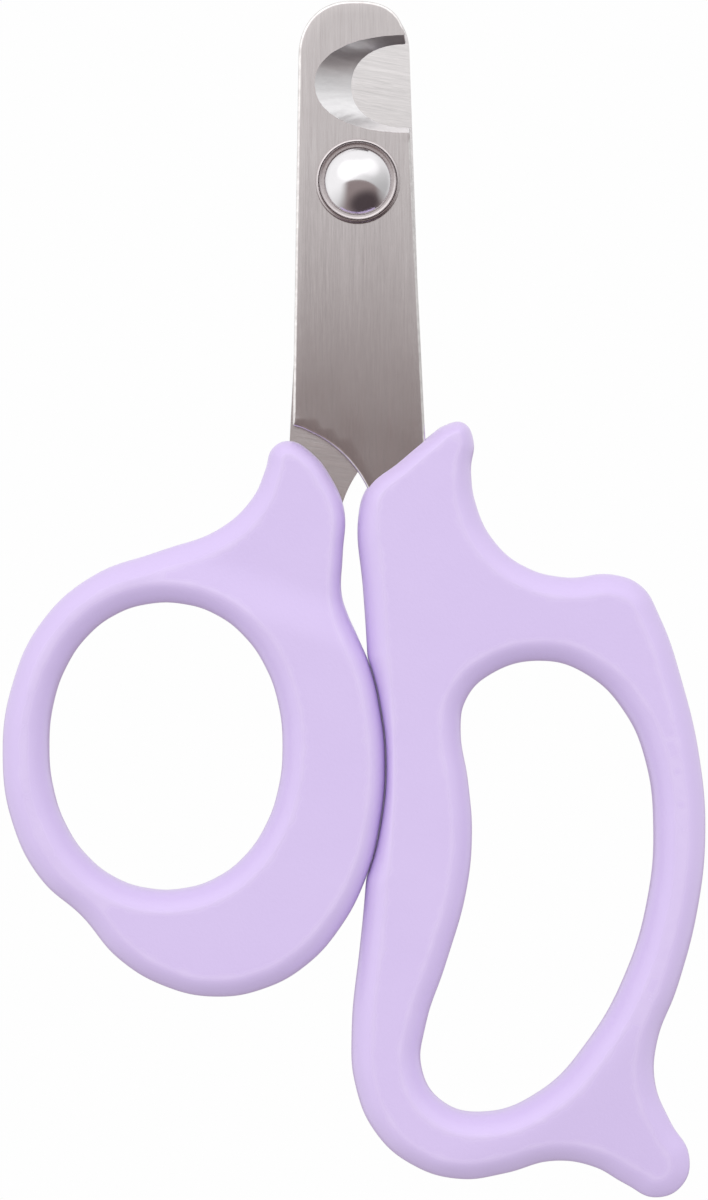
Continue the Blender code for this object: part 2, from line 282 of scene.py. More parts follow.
BEVEL_START = 6.0
for node, z in (("thumb_handle", BEVEL_START), ("finger_handle", BEVEL_START), ("front_blade", 5.5)):
    print(node, z, [(len(ring), round(abs(signed_area(ring)), 1)) for ring in outlines(node, z)])

# %% [markdown]
# ## Smooth rings
# The corners of an outline are samples of a smooth curve. A closed cubic spline runs through them again
# with no kinks, and is cut into even steps. Small functions soften a ring and find which way is inwards.


# %% Rings as smooth curves
def even(ring, step):
    """A closed polyline at even steps: its coordinates interpolated over the distance walked along it."""
    closed = np.vstack([ring, ring[:1]])
    along = np.concatenate([[0], np.cumsum(np.linalg.norm(np.diff(closed, axis=0), axis=1))])
    at = np.linspace(0, along[-1], int(round(along[-1] / step)), endpoint=False)
    return np.stack([np.interp(at, along, closed[:, axis]) for axis in (0, 1)], axis=1)


def smooth_ring(ring, step):
    """A closed cubic spline: second derivatives from one linear system that makes slopes agree at each
    corner, then each side is the straight line plus a cubic weighted by the derivatives at its two ends."""
    count = len(ring)
    here = np.arange(count)
    side = np.roll(ring, -1, axis=0) - ring
    length = np.linalg.norm(side, axis=1)
    before = np.roll(length, 1)
    slope = side / length[:, None]
    system = np.zeros((count, count))
    system[here, here] = 2 * (before + length)
    system[here, (here - 1) % count] = before
    system[here, (here + 1) % count] = length
    bend = np.linalg.solve(system, 6 * (slope - np.roll(slope, 1, axis=0)))[:, None]
    t = np.linspace(0, 1, 16, endpoint=False)[None, :, None]
    s = 1 - t
    cubic = (s**3 - s) * bend + (t**3 - t) * np.roll(bend, -1, axis=0)
    line = s * ring[:, None] + t * np.roll(ring, -1, axis=0)[:, None]
    return even((line + length[:, None, None] ** 2 / 6 * cubic).reshape(-1, 2), step)


def soften(values, reach):
    """Averages along a ring with bell-shaped weights: a wave of f per step is scaled by
    exp(-(2 pi f reach)^2 / 2)."""
    waves = np.fft.rfftfreq(len(values))
    scale = np.exp(-0.5 * (2 * np.pi * waves * reach) ** 2)
    shape = (-1,) + (1,) * (values.ndim - 1)
    return np.fft.irfft(np.fft.rfft(values, axis=0) * scale.reshape(shape), len(values), axis=0)


def inward(ring):
    """Unit normals on the left of the walk, where the material is: the mean direction turned by a
    quarter."""
    ahead = np.roll(ring, -1, axis=0) - np.roll(ring, 1, axis=0)
    ahead /= np.linalg.norm(ahead, axis=1)[:, None]
    return np.stack([-ahead[:, 1], ahead[:, 0]], axis=1)


def ease(value, low, high):
    """0 below low, 1 above high, and the smooth cubic 3t^2 - 2t^3 between."""
    t = np.clip((value - low) / (high - low), 0, 1)
    return t * t * (3 - 2 * t)


# %% [markdown]
# ## Closing a plate
# Handles and blades are plates: a band of surface runs round each ring, from the underside to the top, and
# two caps fill what is left. The caps are triangulated with extra points inside, so that a gently uneven
# face can be given to them and still shade smoothly.


# %% A plate from its bands
def inside(points, rings):
    """True where a point is inside: a ray to the right crosses the sides of the rings an odd number of
    times."""
    crossings = np.zeros(len(points), int)
    for ring in rings:
        a, b = ring, np.roll(ring, -1, axis=0)
        spans = (a[None, :, 1] > points[:, None, 1]) != (b[None, :, 1] > points[:, None, 1])
        rise = np.where(np.abs(b[:, 1] - a[:, 1]) < 1e-12, 1e-12, b[:, 1] - a[:, 1])
        at = a[None, :, 0] + (points[:, None, 1] - a[None, :, 1]) * ((b[:, 0] - a[:, 0]) / rise)[None]
        crossings += np.sum(spans & (at > points[:, None, 0]), axis=1)
    return crossings % 2 == 1


def filling(rings, spacing):
    """Points on a staggered lattice inside the rings, none nearer to a ring than half the spacing."""
    low, high = rings[0].min(axis=0), rings[0].max(axis=0)
    x, y = np.meshgrid(np.arange(low[0], high[0], spacing), np.arange(low[1], high[1], spacing * 0.866))
    x = x + spacing / 2 * (np.arange(len(y))[:, None] % 2)
    lattice = np.stack([x.ravel(), y.ravel()], axis=1)
    lattice = lattice[inside(lattice, rings)]
    nearest = np.full(len(lattice), 1e9)
    for ring in rings:
        apart = lattice[:, None] - ring[None]
        nearest = np.minimum(nearest, np.sqrt((apart**2).sum(axis=2)).min(axis=1))
    return lattice[nearest > spacing / 2]


def triangulate(rings, extra):
    """Delaunay triangles over the rings and the extra points, without those outside or in a hole."""
    points = np.concatenate(rings + [extra])
    starts = np.cumsum([0] + [len(ring) for ring in rings])
    sides = [
        np.stack([start + np.arange(len(ring)), start + (np.arange(len(ring)) + 1) % len(ring)], axis=1)
        for start, ring in zip(starts, rings)
    ]
    corners = [Vector(p) for p in points.tolist()]
    made = delaunay_2d_cdt(corners, np.concatenate(sides).tolist(), [], 0, 1e-7, True)
    source = np.array([ids[0] for ids in made[3]])
    faces = source[np.array(made[2])]
    return faces[inside(points[faces].mean(axis=1), rings)]


def plate(name, bands, spacing, top, bottom, crease=32):
    """A closed plate, in mm. A band is a grid: along its ring, and from the underside (row 0) to the top.
    Every four neighbours make a face, and the caps use the first and last rows, with heights top(xy) and
    bottom(xy)."""
    points, faces, upper, lower = [], [], [], []
    count = 0
    for band in bands:
        along, rows = band.shape[:2]
        number = count + np.arange(along * rows).reshape(along, rows)
        ahead = np.roll(number, -1, axis=0)
        quads = np.stack([number[:, :-1], ahead[:, :-1], ahead[:, 1:], number[:, 1:]], axis=2).reshape(-1, 4)
        faces += quads.tolist()
        upper.append(number[:, -1])
        lower.append(number[:, 0])
        points.append(band.reshape(-1, 3))
        count += along * rows
    for ends, height, turn in ((upper, top, 1), (lower, bottom, -1)):
        flat = np.concatenate(points)
        rings = [flat[ids][:, :2] for ids in ends]
        extra = filling(rings, spacing)
        points.append(np.column_stack([extra, height(extra)]))
        ids = np.concatenate(ends + [count + np.arange(len(extra))])
        faces += ids[triangulate(rings, extra)][:, ::turn].tolist()
        count += len(extra)
    return piece(name, np.concatenate(points), faces, crease)


def piece(name, points, faces, crease=32):
    """A mesh object from points in mm, smooth shaded, and sharp where faces meet at more than the crease
    angle."""
    mesh = bpy.data.meshes.new(name)
    mesh.from_pydata((points * MM).tolist(), [], faces)
    mesh.shade_smooth()
    mesh.set_sharp_from_angle(angle=math.radians(crease))
    made = bpy.data.objects.new(name, mesh)
    bpy.context.scene.collection.objects.link(made)
    print(name, "points", len(mesh.vertices), "faces", len(mesh.polygons))
    return made


def finish_piece(made, body, nodes, material):
    """Gives a piece its body and its material, and hides the solids it stands for."""
    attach(made, body)
    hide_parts(*nodes)
    made.data.materials.append(material)


# %% [markdown]
# ## Grain and wear, shared by the finishes, with wear that also paints edge highlights
# Three effects are used by more than one finish, so each is one group: a grain that can be stretched into
# brush marks, broad patches such as handling leaves, and rubbed edges, which the finishes also colour paler
# as a painted highlight along the edges. The edges come from a number that each piece carries at its points.


# %% Groups of nodes
def new_group(name, inputs, outputs):
    """An empty node group with named sockets. Inputs are (name, type, value), and outputs are names of
    numbers."""
    group = bpy.data.node_groups.new(name, "ShaderNodeTree")
    for title, kind, value in inputs:
        group.interface.new_socket(title, in_out="INPUT", socket_type=kind).default_value = value
    for title in outputs:
        group.interface.new_socket(title, in_out="OUTPUT", socket_type="NodeSocketFloat")
    return group, put(group, "NodeGroupInput").outputs, put(group, "NodeGroupOutput").inputs


GRAIN, given, wanted = new_group(
    "stretched_grain",
    [
        ("Place", "NodeSocketVector", (0, 0, 0)),
        ("Turn", "NodeSocketFloat", 0.0),
        ("Stretch", "NodeSocketVector", (1, 1, 1)),
        ("Detail", "NodeSocketFloat", 4.0),
    ],
    ["Height", "Marks"],
)
rotation = {"Vector": given["Place"], "Angle": given["Turn"]}
turned = put(GRAIN, "ShaderNodeVectorRotate", rotation, rotation_type="Z_AXIS")
drawn = put(GRAIN, "ShaderNodeVectorMath", {0: turned.outputs[0], 1: given["Stretch"]}, operation="MULTIPLY")
noise = {"Vector": drawn.outputs[0], "Scale": 1.0, "Detail": given["Detail"], "Roughness": 0.62}
fibres = put(GRAIN, "ShaderNodeTexNoise", noise)
sharp = {0: fibres.outputs[0], 1: 0.56, 2: 0.72, 3: 0.0, 4: 1.0}
GRAIN.links.new(fibres.outputs[0], wanted["Height"])
GRAIN.links.new(put(GRAIN, "ShaderNodeMapRange", sharp).outputs[0], wanted["Marks"])

PATCHES, given, wanted = new_group(
    "handled_patches",
    [("Place", "NodeSocketVector", (0, 0, 0)), ("Size", "NodeSocketFloat", 100.0)],
    ["Patches", "Specks"],
)
broad = put(PATCHES, "ShaderNodeTexNoise", {"Vector": given["Place"], "Scale": given["Size"], "Detail": 3.0})
fine = maths(PATCHES, "MULTIPLY", given["Size"], 31.0)
small = put(PATCHES, "ShaderNodeTexNoise", {"Vector": given["Place"], "Scale": fine, "Detail": 2.0})
few = {0: small.outputs[0], 1: 0.66, 2: 0.78, 3: 0.0, 4: 1.0}
PATCHES.links.new(broad.outputs[0], wanted["Patches"])
PATCHES.links.new(put(PATCHES, "ShaderNodeMapRange", few).outputs[0], wanted["Specks"])

WEAR_AND_HIGHLIGHT, given, wanted = new_group(
    "rubbed_edges_and_highlights",
    [
        ("Place", "NodeSocketVector", (0, 0, 0)),
        ("Edge", "NodeSocketFloat", 0.0),
        ("Size", "NodeSocketFloat", 900.0),
        ("Amount", "NodeSocketFloat", 0.5),
    ],
    ["Wear"],
)
uneven = put(WEAR_AND_HIGHLIGHT, "ShaderNodeTexNoise", {"Vector": given["Place"], "Scale": given["Size"], "Detail": 4.0})
reached = maths(WEAR_AND_HIGHLIGHT, "MULTIPLY_ADD", uneven.outputs[0], 1.2, given["Edge"])
limits = {0: reached, 1: 1.05, 2: 1.75, 3: 0.0, 4: given["Amount"]}
WEAR_AND_HIGHLIGHT.links.new(put(WEAR_AND_HIGHLIGHT, "ShaderNodeMapRange", limits).outputs[0], wanted["Wear"])
print("groups:", [group.name for group in bpy.data.node_groups])


# %% Starting a finish
def finish_tree(name):
    """A material with one Principled shader. Returns its tree, the shader, object places and the edge
    number."""
    material = bpy.data.materials.new(name)
    material.use_nodes = True
    made = material.node_tree
    shader = made.nodes["Principled BSDF"]
    place = put(made, "ShaderNodeTexCoord").outputs["Object"]
    edge = put(made, "ShaderNodeAttribute", attribute_name="edge").outputs["Fac"]
    return material, made, shader, place, edge


def use(tree, group, **inputs):
    """Places a shared group in a tree with its own values."""
    return put(tree, "ShaderNodeGroup", inputs, node_tree=group).outputs


def tint(tree, amount, plain, changed):
    """A colour that goes from plain to changed with a number."""
    return put(tree, "ShaderNodeMix", {0: amount, 6: plain, 7: changed}, data_type="RGBA").outputs[2]


def level(tree, value, low, high):
    """A number from 0..1 carried to low..high."""
    return put(tree, "ShaderNodeMapRange", {0: value, 3: low, 4: high}).outputs[0]


def relief(tree, shader, layers):
    """Bumps one over another, each (height, depth in metres), joined to the shader's Normal."""
    normal = None
    for height, depth in layers:
        inputs = {"Height": height, "Distance": depth, "Strength": 1.0}
        if normal is not None:
            inputs["Normal"] = normal
        normal = put(tree, "ShaderNodeBump", inputs).outputs[0]
    tree.links.new(normal, shader.inputs["Normal"])


# %% [markdown]
# ## Lilac plastic
# The handles are injection moulded in one solid colour with a satin skin. The mould leaves a fine even
# texture, the flow leaves the colour very slightly cloudy, handling polishes patches, and the crests are
# rubbed a little smoother and paler: partly wear, partly a painted highlight along each ridge. A hairline
# runs round the middle where the two mould halves met.

# %% The plastic
LILAC, tree, shader, place, edge = finish_tree("lilac_plastic")
grain = use(tree, GRAIN, Place=place, Stretch=(2600, 2600, 2600), Detail=2.0)
patches = use(tree, PATCHES, Place=place, Size=90.0)
wear_and_highlight = use(tree, WEAR_AND_HIGHLIGHT, Place=place, Edge=edge, Size=500.0, Amount=1.0)["Wear"]
cloudy = tint(tree, patches["Patches"], (0.680, 0.550, 0.875, 1), (0.705, 0.575, 0.890, 1))
# Paler along the crests: partly rubbing, partly a painted highlight on each ridge.
shader_colour = tint(tree, wear_and_highlight, cloudy, (0.730, 0.605, 0.905, 1))
tree.links.new(shader_colour, shader.inputs["Base Color"])
satin = level(tree, patches["Patches"], 0.25, 0.36)
rubbed = maths(tree, "MULTIPLY_ADD", wear_and_highlight, -0.07, satin)
tree.links.new(rubbed, shader.inputs["Roughness"])
shader.inputs["Specular IOR Level"].default_value = 0.5
height = put(tree, "ShaderNodeSeparateXYZ", {0: place}).outputs["Z"]
seam_height = sum(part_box("finger_handle")[side].z for side in (0, 1)) / 2
off_seam = maths(tree, "ABSOLUTE", maths(tree, "SUBTRACT", height, seam_height))
seam = put(tree, "ShaderNodeMapRange", {0: off_seam, 1: 0.00002, 2: 0.00009, 3: 1.0, 4: 0.0}).outputs[0]
relief(tree, shader, [(patches["Patches"], 0.00012), (grain["Height"], 0.000012), (seam, 0.00004)])

# %% [markdown]
# ## Brushed steel
# The blades are stamped from sheet, brushed along their length on the faces that show and ground across on
# the faces that rub. Brushing is thousands of fine parallel scratches: the grain is noise drawn out along
# one direction, and it moves colour, roughness and relief together.


# %% The steels
def steel(name, turn, stretch, dark, pale, rough, depth):
    """Brushed steel: the grain turned by an angle and stretched, between two tones and two roughnesses, and
    cut to a depth in metres."""
    material, tree, shader, place, edge = finish_tree(name)
    angle = math.radians(turn)
    grain, threads, broad = (
        use(tree, GRAIN, Place=place, Turn=angle, Stretch=tuple(scale * s for s in stretch), Detail=detail)
        for scale, detail in ((1.0, 6.0), (3.1, 3.0), (0.16, 3.0))
    )
    patches = use(tree, PATCHES, Place=place, Size=160.0)
    wear_and_highlight = use(tree, WEAR_AND_HIGHLIGHT, Place=place, Edge=edge, Size=1400.0, Amount=0.8)["Wear"]
    streaks = maths(tree, "MULTIPLY", grain["Height"], 0.35)
    streaks = maths(tree, "MULTIPLY_ADD", threads["Height"], 0.35, streaks)
    streaks = maths(tree, "MULTIPLY_ADD", broad["Height"], 0.3, streaks)
    clear = put(tree, "ShaderNodeMapRange", {0: streaks, 1: 0.36, 2: 0.64}).outputs[0]
    tone = tint(tree, clear, dark, pale)
    # Rubbed edges go paler: partly wear, partly a painted highlight along the broken edges.
    tree.links.new(tint(tree, wear_and_highlight, tone, (0.86, 0.84, 0.83, 1)), shader.inputs["Base Color"])
    shader.inputs["Metallic"].default_value = 1.0
    dull = maths(tree, "MULTIPLY_ADD", patches["Patches"], 0.06, level(tree, clear, *rough))
    tree.links.new(maths(tree, "MULTIPLY_ADD", wear_and_highlight, -0.04, dull), shader.inputs["Roughness"])
    relief(tree, shader, [(grain["Height"], depth), (threads["Height"], depth / 2)])
    return material


LENGTHWISE = steel(
    "steel_brushed_lengthwise", 0, (7000, 150, 4000),
    (0.47, 0.435, 0.435, 1), (0.58, 0.54, 0.54, 1), (0.12, 0.07), 7e-6,
)
CROSSWISE = steel(
    "steel_ground_across", 10, (250, 6500, 4000),
    (0.62, 0.60, 0.60, 1), (0.80, 0.77, 0.77, 1), (0.13, 0.09), 2e-6,
)
GROUND = steel(
    "steel_ground_notch", 0, (500, 2600, 500),
    (0.70, 0.69, 0.70, 1), (0.80, 0.79, 0.80, 1), (0.38, 0.32), 3e-6,
)
print("steels:", LENGTHWISE.name, CROSSWISE.name, GROUND.name)

# %% [markdown]
# ## Polished chrome
# The rivet and its washers are turned and plated. Turning leaves rings too fine to see one by one, plating
# makes them glossy, and use leaves a few hair scratches and dull specks.

# %% The chrome
CHROME, tree, shader, place, edge = finish_tree("rivet_chrome")
scratches = use(tree, GRAIN, Place=place, Turn=0.6, Stretch=(5200, 420, 900), Detail=3.0)
patches = use(tree, PATCHES, Place=place, Size=420.0)
wear_and_highlight = use(tree, WEAR_AND_HIGHLIGHT, Place=place, Edge=edge, Size=1600.0, Amount=0.8)["Wear"]
plated = tint(tree, patches["Patches"], (0.70, 0.685, 0.70, 1), (0.78, 0.765, 0.78, 1))
tree.links.new(tint(tree, wear_and_highlight, plated, (0.95, 0.92, 0.93, 1)), shader.inputs["Base Color"])
shader.inputs["Metallic"].default_value = 1.0
polish = level(tree, patches["Patches"], 0.07, 0.17)
dulled = maths(tree, "MULTIPLY_ADD", patches["Specks"], 0.12, polish)
tree.links.new(maths(tree, "MULTIPLY_ADD", scratches["Marks"], 0.05, dulled), shader.inputs["Roughness"])
relief(tree, shader, [(scratches["Height"], 0.0000012), (patches["Patches"], 0.000004)])

# %% [markdown]
# ## Washer steel, with painted shade and a painted rim highlight
# The cup washer under the dome is pressed steel, coloured greyer and browner than the plated dome: painted
# shade for the dim reflection its cove shows under the dome. Its rim is painted bright as a highlight through
# the rubbed-edge mask, which does most of the work here.

# %% The washer steel
WASHER, tree, shader, place, edge = finish_tree("washer_steel")
marks = use(tree, GRAIN, Place=place, Turn=0.2, Stretch=(2400, 2400, 5200), Detail=4.0)
patches = use(tree, PATCHES, Place=place, Size=500.0)
wear_and_highlight = use(tree, WEAR_AND_HIGHLIGHT, Place=place, Edge=edge, Size=900.0, Amount=1.0)["Wear"]
# Painted shade: a darker grey-brown than the chrome, for the dim reflection in the cove.
pressed_and_shaded = tint(tree, patches["Patches"], (0.50, 0.455, 0.46, 1), (0.60, 0.555, 0.56, 1))
# Painted highlight: along the rim the colour goes nearly white.
tree.links.new(tint(tree, wear_and_highlight, pressed_and_shaded, (0.92, 0.86, 0.87, 1)), shader.inputs["Base Color"])
shader.inputs["Metallic"].default_value = 1.0
dull = maths(tree, "MULTIPLY_ADD", marks["Marks"], 0.08, level(tree, patches["Patches"], 0.18, 0.30))
tree.links.new(maths(tree, "MULTIPLY_ADD", wear_and_highlight, -0.08, dull), shader.inputs["Roughness"])
relief(tree, shader, [(marks["Height"], 0.000003), (patches["Patches"], 0.000006)])

# %% [markdown]
# ## Handles
# Each handle is a moulded plate with generously rounded sides: half an ellipse from the middle of the edge
# up to a flat face. The ellipse is as deep as the plate allows, so narrow bars come out almost round. How
# far a point of the outline may be moved inwards is the radius of the largest circle that touches the
# outline there and stays inside it. The backs lie at height 0, so the seam is half the thickness up.


# %% Rounded sides
SEAM = seam_height / MM
HALF_THICKNESS = SEAM
SIDE_DEPTH = 2.3
MOUTH_DEPTH = 1.6
SIDE_ROWS = 31
SQUARENESS = 2.5
RIDGE = 0.24
HANDLE_STEP = 0.3
ROOM_SHARE = 0.94
MOUTH_START, MOUTH_END = 29.0, 38.0
CREST_WIDTH = 0.22


def room_inside(ring, normals, everything, nearest):
    """Radius of the largest inner circle touching each ring point: the least of d.d / (2 d.n) over all
    points that are further away than the nearest distance."""
    apart = everything[None] - ring[:, None]
    square = (apart**2).sum(axis=2)
    rise = (apart * normals[:, None]).sum(axis=2)
    usable = (rise > 1e-4) & (square > nearest**2)
    return np.where(usable, square / np.where(usable, 2 * rise, 1), 99.0).min(axis=1)


def side_depths(ring, rings, deepest):
    """Depth of the rounded side round a ring: the wanted depth, at most a share of the room inside, eased
    along the ring, and shallower near the mouth where the blade goes in, by the distance from the pivot."""
    space = ROOM_SHARE * room_inside(ring, inward(ring), np.concatenate(rings), 0.9)
    near = np.stack([np.roll(space, shift) for shift in range(-5, 6)]).min(axis=0)
    past_mouth = ease(np.hypot(ring[:, 0], ring[:, 1]), MOUTH_START, MOUTH_END)
    at_mouth = MOUTH_DEPTH + (deepest - MOUTH_DEPTH) * past_mouth
    return np.minimum(soften(np.minimum(near, at_mouth), 5.0), space)


def handle(name, rings, depths, half_height):
    """A handle: each ring carried round a squarish half ellipse, c^n + s^n = 1, where c goes from 0 at the
    underside's crest to 1 at the seam and back. A point moves inwards by depth (1 - c) and sits at half
    height times s, less a slope that leaves a soft ridge where the side meets the flat face."""
    angle = np.radians(np.linspace(-90, 90, SIDE_ROWS))
    c = np.cos(angle).clip(0) ** 1.3
    s = np.sign(angle) * (1 - c**SQUARENESS) ** (1 / SQUARENESS)
    lift = s - np.sign(s) * RIDGE * c**1.7 * (1 - c**3)
    bands, edges = [], []
    for ring, deepest in zip(rings, depths):
        depth = side_depths(ring, rings, deepest)
        xy = ring[:, None] + inward(ring)[:, None] * (depth[:, None] * (1 - c)[None])[:, :, None]
        z = SEAM + half_height(xy) * lift[None]
        bands.append(np.concatenate([xy, z[:, :, None]], axis=2))
        edges.append(np.tile(np.exp(-((c / CREST_WIDTH) ** 2)), len(ring)))
    made = plate(name, bands, 0.8, lambda xy: SEAM + half_height(xy), lambda xy: SEAM - half_height(xy))
    mark_edges(made, np.concatenate(edges))
    return made


def mark_edges(made, values):
    """Stores how near each point is to an edge, for the finishes. Points past the end of the values get
    0."""
    full = np.zeros(len(made.data.vertices), np.float32)
    full[: len(values)] = values
    made.data.attributes.new("edge", "FLOAT", "POINT").data.foreach_set("value", full)


# %% [markdown]
# ## Thumb handle
# A short neck holds the blade and widens into a round loop. The loop stands a little prouder than the neck,
# so its crest ends in a soft swelling, and the side of the neck towards the other handle is steeper than
# the rest.


# %% The thumb handle
NECK_DROP = 0.60


def thumb_height(xy):
    """Half the thickness of the thumb handle: full at the loop, less along the neck above it."""
    return HALF_THICKNESS - NECK_DROP * ease(xy[..., 1] + 0.35 * xy[..., 0], -50.5, -44.5)


thumb_rings = [smooth_ring(ring, HANDLE_STEP) for ring in outlines("thumb_handle", BEVEL_START)]
outer = thumb_rings[0]
facing = ease(outer[:, 0], -9.0, -3.0) * ease(outer[:, 1], -84.0, -70.0)
neck_side = facing * ease(outer[:, 1], -46.0, -43.5)
thumb_depths = [SIDE_DEPTH - 0.5 * facing - 0.45 * neck_side, np.full(len(thumb_rings[1]), SIDE_DEPTH)]
thumb = handle("thumb_handle_moulding", thumb_rings, thumb_depths, thumb_height)
finish_piece(thumb, "thumb_side", ["thumb_handle"], LILAC)

# %% [markdown]
# ## Finger handle
# The long loop takes two fingers and ends in a fin for the little finger. Its side runs straight past the
# thumb loop, which closes against a hollow in it. The straight line is a cubic that leaves and meets the
# outline with its own slopes, and the hollow is the larger of that line and the thumb loop's edge, with the
# side made steeper there. The fin slopes down from the crest of the loop.

# %% The finger handle
CLOSED_GAP = 0.012
BLEND = 0.07
FIN_SLOPE = 0.15
finger_rings = [smooth_ring(ring, HANDLE_STEP) for ring in outlines("finger_handle", BEVEL_START)]
outer, loop = finger_rings
hollow = np.flatnonzero((outer[:, 0] < 5) & (outer[:, 1] < -44.0) & (outer[:, 1] > -79.5))
x, y = outer[hollow].T
lead = np.diff(outer, axis=0)[[hollow[0] - 1, hollow[-1]]]
slopes = lead[:, 0] / lead[:, 1]
t = (y - y[0]) / (y[-1] - y[0])
span = y[-1] - y[0]
straight = (
    (2 * t**3 - 3 * t**2 + 1) * x[0]
    + (t**3 - 2 * t**2 + t) * span * slopes[0]
    + (3 * t**2 - 2 * t**3) * x[-1]
    + (t**3 - t**2) * span * slopes[1]
)
facing_loop = thumb_rings[0][(thumb_rings[0][:, 0] > -3.5) & (thumb_rings[0][:, 1] < -40)]
facing_loop = facing_loop[np.argsort(facing_loop[:, 1])]
touching = np.interp(y, facing_loop[:, 1], facing_loop[:, 0]) + CLOSED_GAP
fitted = straight + BLEND * np.logaddexp(0, (touching - straight) / BLEND)
finger_rings[0][hollow, 0] = fitted
finger_depths = [np.full(len(ring), SIDE_DEPTH) for ring in finger_rings]
finger_depths[0][hollow] = np.maximum(SIDE_DEPTH - 0.85 * (fitted - straight), 0.85)
print("hollow against the thumb loop, mm:", round(float((fitted - straight).max()), 2))


def finger_height(xy):
    """Half the thickness of the finger handle: full, then falling with the distance past the loop's crest
    out on the fin, which lies to the lower right."""
    flat = xy.reshape(-1, 2)
    past = np.empty(len(flat))
    for start in range(0, len(flat), 4000):
        some = flat[start : start + 4000]
        past[start : start + 4000] = np.sqrt(((some[:, None] - loop[None]) ** 2).sum(axis=2)).min(axis=1)
    past = past.reshape(xy.shape[:-1]) - SIDE_DEPTH
    on_fin = ease((xy[..., 0] - 25.0) * 0.63 - (xy[..., 1] + 94.5) * 0.77, -4.0, 2.0)
    fall = np.sqrt(np.clip(past, 0, None) ** 2 + 0.16) - 0.4
    return HALF_THICKNESS - FIN_SLOPE * on_fin * fall


fingers = handle("finger_handle_moulding", finger_rings, finger_depths, finger_height)
finish_piece(fingers, "finger_side", ["finger_handle"], LILAC)

# %% [markdown]
# ## Blades
# Each blade is 1.75 mm sheet with a ground notch. On the rubbing side the notch ends in the cutting edge,
# and on the outer side in a wider rim, so the hollow between them shows as a crescent. Every other edge of
# the outer face is broken to a small round, which catches the light as a thin line; the steel also colours
# that round paler, a painted highlight along the line. Where the outline leaves little room, the round gets
# narrower, and the least and the mean of nine neighbours keep that change gradual. One more row of points
# just under the round keeps its shading off the flat wall.


# %% Blades from two outlines
EDGE_WIDTH, EDGE_DROP, WALL_TOP = 0.34, 0.20, 0.5
ROUND_ROWS = 8
BLADE_STEP, BLADE_SOFTNESS = 0.1, 1.5
CORNER_GUARD = 0.06
NOTCH_GAP, NOTCH_HOLLOW = 0.08, 0.05


def guarded(ring):
    """Ring points made safe for a spline: long straight sides are divided, and each sharp corner gets a
    close neighbour on both sides so that the curve stays near it."""
    side = np.roll(ring, -1, axis=0) - ring
    length = np.linalg.norm(side, axis=1)
    unit = side / length[:, None]
    before = np.roll(unit, 1, axis=0)
    corner = (unit * before).sum(axis=1) < math.cos(math.radians(24))
    out = []
    for i, start in enumerate(ring):
        cuts = np.linspace(0, length[i], 1 + max(1, int(length[i] / 0.8)) if length[i] > 2.2 else 2)[:-1]
        if corner[i]:
            cuts = np.insert(cuts, 1, CORNER_GUARD)
        if corner[(i + 1) % len(ring)]:
            cuts = np.append(cuts, length[i] - CORNER_GUARD)
        out.append(start + unit[i] * cuts[:, None])
    return np.concatenate(out)


def apart_from(path, other, gap):
    """True where a path point is further than the gap from every point of another path."""
    return np.sqrt(((path[:, None] - other[None]) ** 2).sum(axis=2)).min(axis=1) > gap


def run_first(ring, marked):
    """A ring turned round so that its one marked run comes first, and how long that run is."""
    start = int(np.flatnonzero(marked & ~np.roll(marked, 1))[0])
    return np.roll(ring, -start, axis=0), int(marked.sum())


def along_rays(rim, edge):
    """For each point of the cutting edge, the rim point on nearly the same ray from just outside the
    notch's mouth: nine parts the share of the rim found by angle, and one part the share of the walk, so
    none repeat."""
    middle = (rim[0] + rim[-1]) / 2
    eye = middle + 0.15 * (middle - rim.mean(axis=0))
    rim_angle, edge_angle = (
        np.arctan2(path[:, 1] - eye[1], np.abs(path[:, 0] - eye[0])) for path in (rim, edge)
    )
    order = np.argsort(rim_angle)
    walked = np.arange(len(rim))
    by_angle = np.interp(edge_angle, rim_angle[order], walked[order])
    share = 0.9 * by_angle + 0.1 * np.linspace(0, walked[-1], len(edge))
    return np.stack([np.interp(share, walked, rim[:, axis]) for axis in (0, 1)], axis=1)


